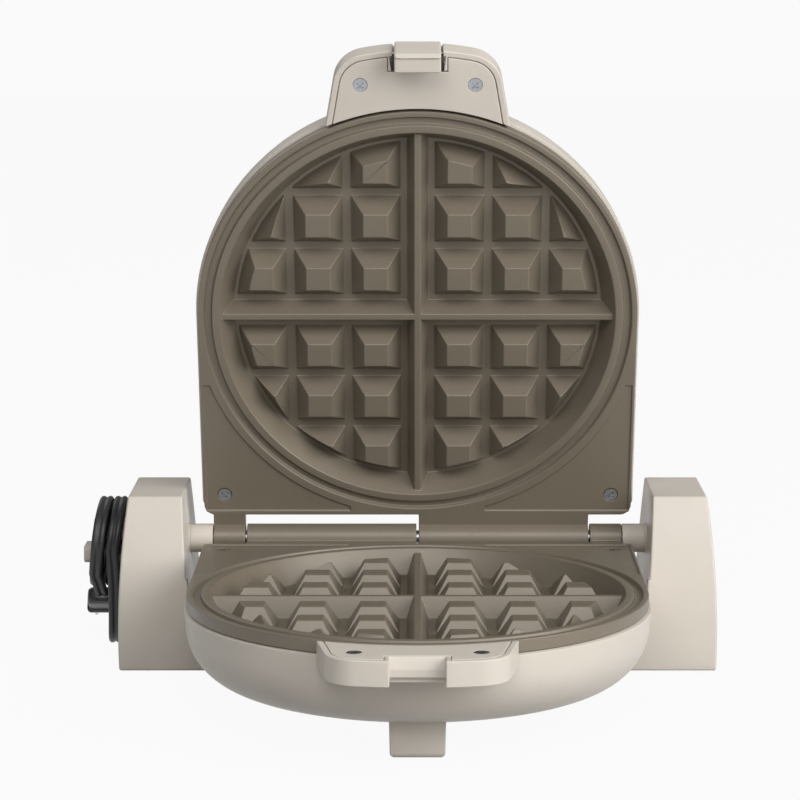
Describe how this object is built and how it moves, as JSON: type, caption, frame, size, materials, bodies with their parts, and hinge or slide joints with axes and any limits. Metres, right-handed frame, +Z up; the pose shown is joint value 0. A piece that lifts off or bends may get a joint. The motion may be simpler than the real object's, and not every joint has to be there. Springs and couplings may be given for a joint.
{
  "type": "waffle maker",
  "caption": "Flip-type round waffle maker, open, with two deep cast plates hinged between two stand towers, latch handles and a cord wrap.",
  "frame": {"origin": "on the table, in the middle of the rubber pad under the stand's front rail, 44.2 mm in front of the hinge axis", "axes": "+X to the right along the hinge axis, -Y to the front where the handles are, +Z up"},
  "size_m": [0.3267, 0.3145, 0.3214],
  "materials": {
    "housing": "fine satin moulded plastic, warm greige",
    "plate": "die-cast aluminium with a satin taupe non-stick coating",
    "steel": "zinc-plated steel",
    "plug_metal": "nickel-plated blades",
    "cord": "black vinyl flat twin flex, soft sheen",
    "plug": "moulded black vinyl",
    "foot_rubber": "matt black rubber",
    "heater": "heat-darkened steel tube",
    "reflector": "bright aluminised sheet",
    "ceramic": "white steatite"
  },
  "bodies": {
    "stand": {"left_tower_housing": "housing", "right_tower_housing": "housing", "tie_rail": "housing", "rail_dowels": "steel", "left_base_plate": "housing", "right_base_plate": "housing", "base_feet": "foot_rubber", "base_screws": "steel", "hinge_axle": "steel", "axle_clips": "steel", "pivot_sleeves": "housing", "pivot_bushings": "housing", "cord_wrap": "housing", "terminal_block": "ceramic", "strain_relief": "plug", "cord_run": "cord", "cord_coil": "cord", "cord_tail": "cord", "plug_body": "plug", "plug_blades": "plug_metal"},
    "lower_half": {"lower_grid_plate": "plate", "lower_housing": "housing", "lower_front_foot": "housing", "lower_handle_body": "housing", "lower_handle_cover": "housing", "lower_screws": "steel", "lower_heater": "heater", "lower_reflector": "reflector", "lower_thermostat": "ceramic"},
    "lid": {"lid_grid_plate": "plate", "lid_housing": "housing", "lid_front_foot": "housing", "lid_handle_body": "housing", "lid_handle_cover": "housing", "lid_screws": "steel", "lid_heater": "heater", "lid_reflector": "reflector", "lid_thermostat": "ceramic", "latch_pin": "steel", "latch_springs": "steel"},
    "latch": {"latch": "housing"}
  },
  "joints": [
    {"name": "flip", "type": "hinge", "parent": "stand", "child": "lower_half", "pos_m": [0, 0.0442, 0.0612], "axis": [-1, 0, 0], "range_deg": [0, 180]},
    {"name": "lid", "type": "hinge", "parent": "lower_half", "child": "lid", "pos_m": [0, 0.0442, 0.0612], "axis": [-1, 0, 0], "range_deg": [-73, 0]},
    {"name": "latch", "type": "hinge", "parent": "lid", "child": "latch", "pos_m": [0, -0.02728, 0.31551], "axis": [-1, 0, 0], "range_deg": [-5, 15], "stiffness_Nm_per_rad": 0.08}
  ]
}
